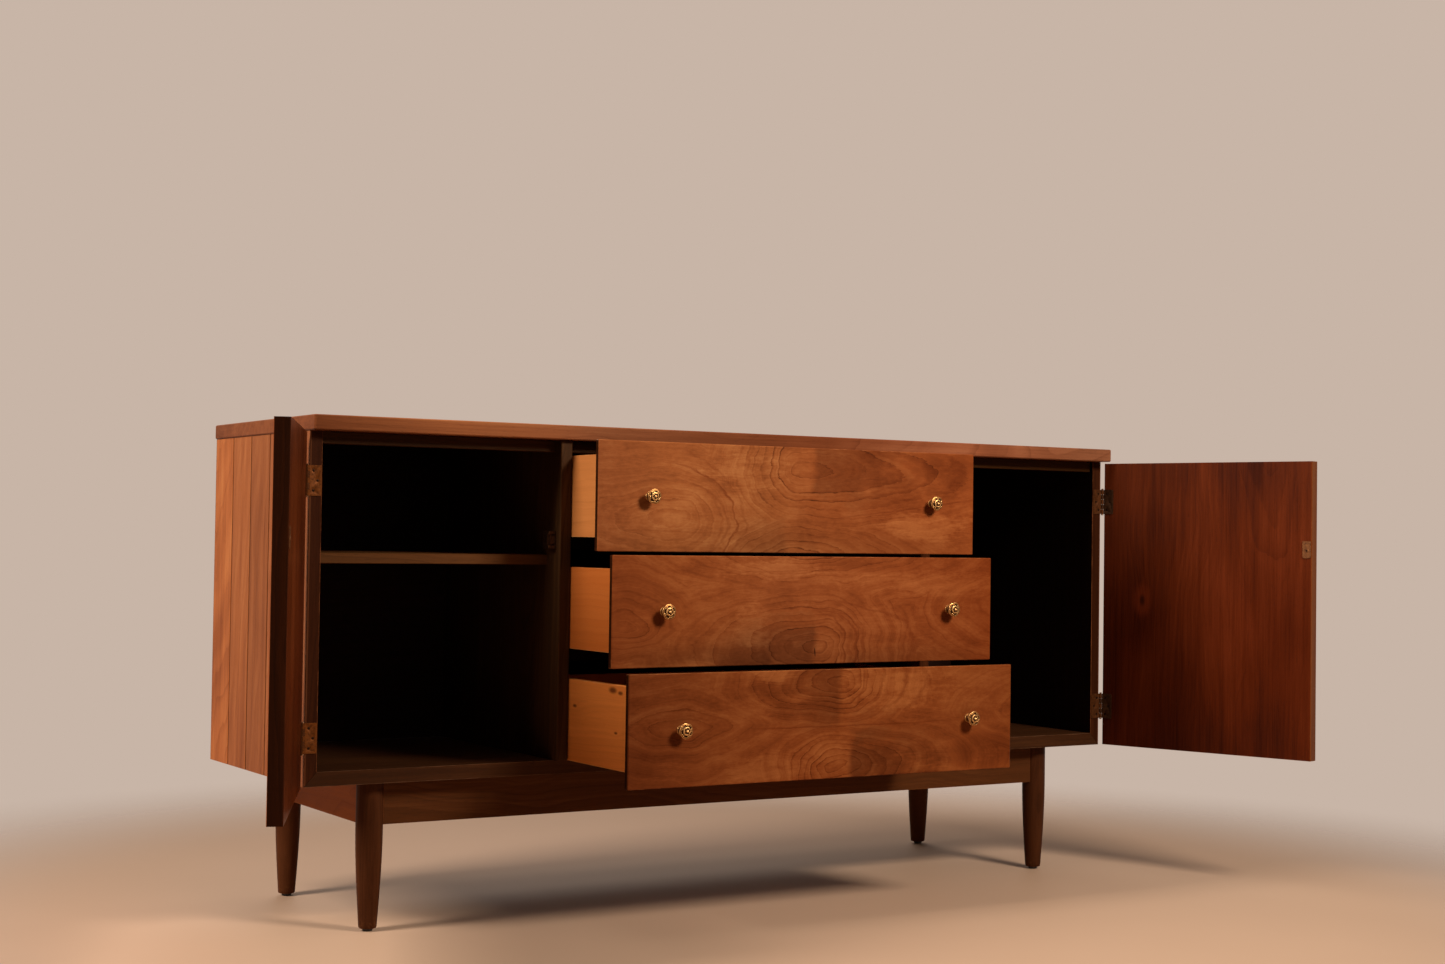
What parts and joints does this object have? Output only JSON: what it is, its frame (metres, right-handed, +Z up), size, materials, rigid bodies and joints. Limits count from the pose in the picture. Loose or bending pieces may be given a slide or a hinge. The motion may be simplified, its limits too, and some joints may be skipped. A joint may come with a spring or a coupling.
{
  "type": "sideboard buffet",
  "caption": "Long low walnut sideboard on turned legs, with planked sides, a hinged door at each end and lipped drawers with rosette knobs between them",
  "frame": {"origin": "on the floor, under the middle of the whole piece's box with its doors and drawers open as shown", "axes": "+X to the right along the length as seen from the front, +Y towards the back, +Z up"},
  "size_m": [1.9226, 0.83, 0.787],
  "materials": {
    "top_walnut": "satin lacquer on walnut veneer",
    "side_walnut": "satin lacquer on grooved walnut",
    "edge_walnut": "satin lacquer on dark-stained walnut",
    "inside_walnut": "dull, dark-stained",
    "back_ply": "unfinished plywood",
    "leg_walnut": "satin lacquer on walnut",
    "glide": "moulded",
    "bronze": "antique bronze plate, worn",
    "catch_metal": "dull bronze plate",
    "door_walnut": "satin lacquer on red-brown walnut",
    "front_walnut": "satin lacquer on figured walnut veneer",
    "drawer_maple": "clear lacquer on maple",
    "drawer_ply": "clear lacquer on plywood",
    "knob_brass": "antique gold brass"
  },
  "bodies": {
    "case": {"top_panel": "top_walnut", "left_side_panel": "side_walnut", "right_side_panel": "side_walnut", "bottom_panel": "edge_walnut", "back_panel": "back_ply", "left_divider": "edge_walnut", "right_divider": "edge_walnut", "top_front_rail": "edge_walnut", "left_shelf": "edge_walnut", "lower_dust_board": "inside_walnut", "upper_dust_board": "inside_walnut", "front_left_leg": "leg_walnut", "front_right_leg": "leg_walnut", "back_left_leg": "leg_walnut", "back_right_leg": "leg_walnut", "front_left_glide": "glide", "front_right_glide": "glide", "back_left_glide": "glide", "back_right_glide": "glide", "front_apron": "leg_walnut", "back_apron": "leg_walnut", "left_apron": "leg_walnut", "right_apron": "leg_walnut", "left_lower_case_leaf": "bronze", "left_upper_case_leaf": "bronze", "right_lower_case_leaf": "bronze", "right_upper_case_leaf": "bronze", "left_catch": "catch_metal", "right_catch": "catch_metal"},
    "left_door": {"left_door": "door_walnut", "left_upper_door_leaf": "bronze", "left_lower_door_leaf": "bronze", "left_strike_plate": "catch_metal"},
    "right_door": {"right_door": "door_walnut", "right_upper_door_leaf": "bronze", "right_lower_door_leaf": "bronze", "right_strike_plate": "catch_metal"},
    "bottom_drawer": {"bottom_drawer_front": "front_walnut", "bottom_drawer_left_side": "drawer_maple", "bottom_drawer_right_side": "drawer_maple", "bottom_drawer_back": "drawer_maple", "bottom_drawer_bottom": "drawer_ply", "bottom_drawer_left_knob": "knob_brass", "bottom_drawer_right_knob": "knob_brass"},
    "middle_drawer": {"middle_drawer_front": "front_walnut", "middle_drawer_left_side": "drawer_maple", "middle_drawer_right_side": "drawer_maple", "middle_drawer_back": "drawer_maple", "middle_drawer_bottom": "drawer_ply", "middle_drawer_left_knob": "knob_brass", "middle_drawer_right_knob": "knob_brass"},
    "top_drawer": {"top_drawer_front": "front_walnut", "top_drawer_left_side": "drawer_maple", "top_drawer_right_side": "drawer_maple", "top_drawer_back": "drawer_maple", "top_drawer_bottom": "drawer_ply", "top_drawer_left_knob": "knob_brass", "top_drawer_right_knob": "knob_brass"}
  },
  "joints": [
    {"name": "left_door_hinge", "type": "hinge", "parent": "case", "child": "left_door", "pos_m": [-0.7736, -0.02001, 0.49575], "axis": [0, 0, -1], "range_deg": [-113.5, 66.5]},
    {"name": "right_door_hinge", "type": "hinge", "parent": "case", "child": "right_door", "pos_m": [0.8068, -0.02001, 0.49575], "axis": [0, 0, 1], "range_deg": [-108.5, 71.5]},
    {"name": "bottom_drawer_slide", "type": "slide", "parent": "case", "child": "bottom_drawer", "axis": [0, -1, 0], "range_m": [-0.218, 0.082]},
    {"name": "middle_drawer_slide", "type": "slide", "parent": "case", "child": "middle_drawer", "axis": [0, -1, 0], "range_m": [-0.162, 0.138]},
    {"name": "top_drawer_slide", "type": "slide", "parent": "case", "child": "top_drawer", "axis": [0, -1, 0], "range_m": [-0.112, 0.188]}
  ]
}
